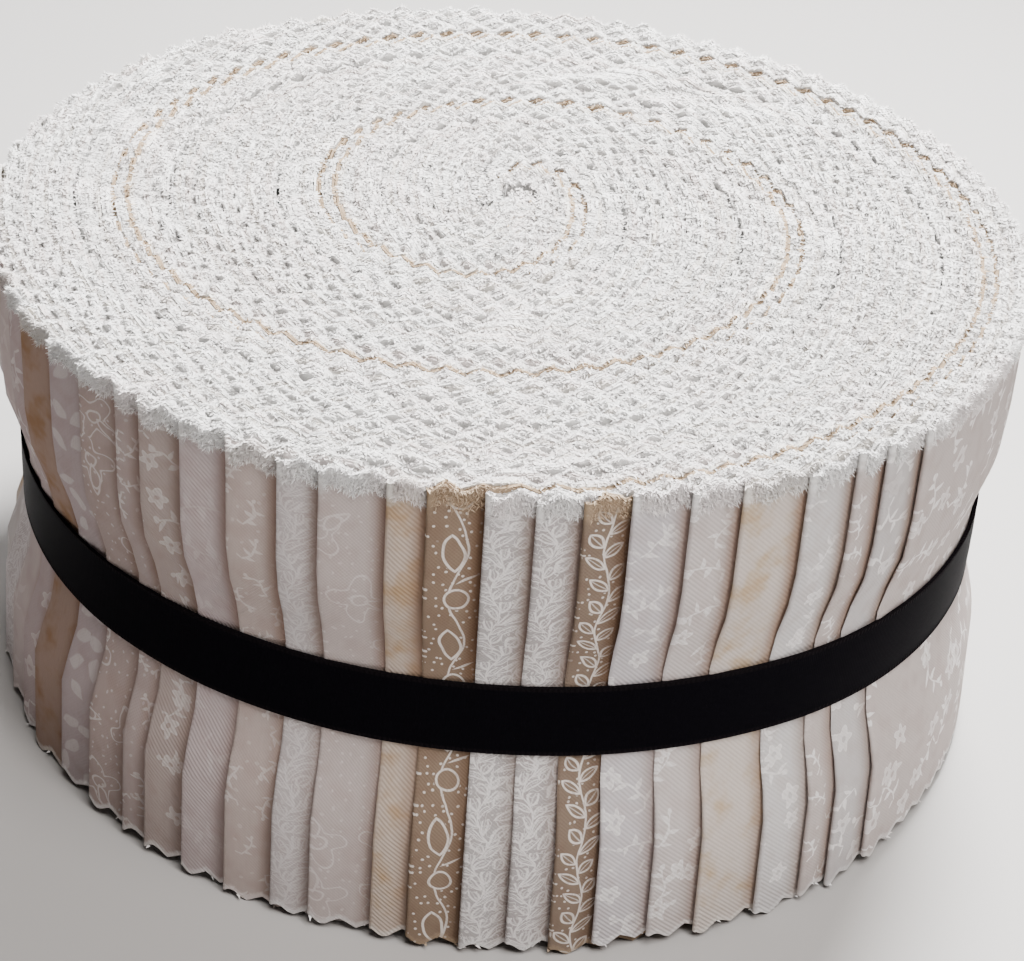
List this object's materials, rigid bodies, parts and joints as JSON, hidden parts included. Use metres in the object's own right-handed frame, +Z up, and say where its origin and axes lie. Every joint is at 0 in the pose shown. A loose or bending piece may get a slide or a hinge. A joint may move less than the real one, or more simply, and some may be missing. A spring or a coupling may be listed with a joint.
{
  "type": "roll of quilting fabric strips",
  "caption": "Pinked quilting strips, folded in half and wound into a low round roll, held at the waist by a flat black satin ribbon.",
  "frame": {"origin": "middle of the underside, on the surface that the roll stands on", "axes": "+Z up along the roll's axis, -Y towards the front, +X to the right seen from the front"},
  "size_m": [0.1298, 0.1296, 0.0647],
  "materials": {
    "strip_cotton": "matt printed cotton with pinked, frayed edges",
    "ribbon_satin": "black satin, slightly glossy"
  },
  "bodies": {
    "root": {"roll": "strip_cotton", "ribbon": "ribbon_satin"}
  },
  "joints": []
}
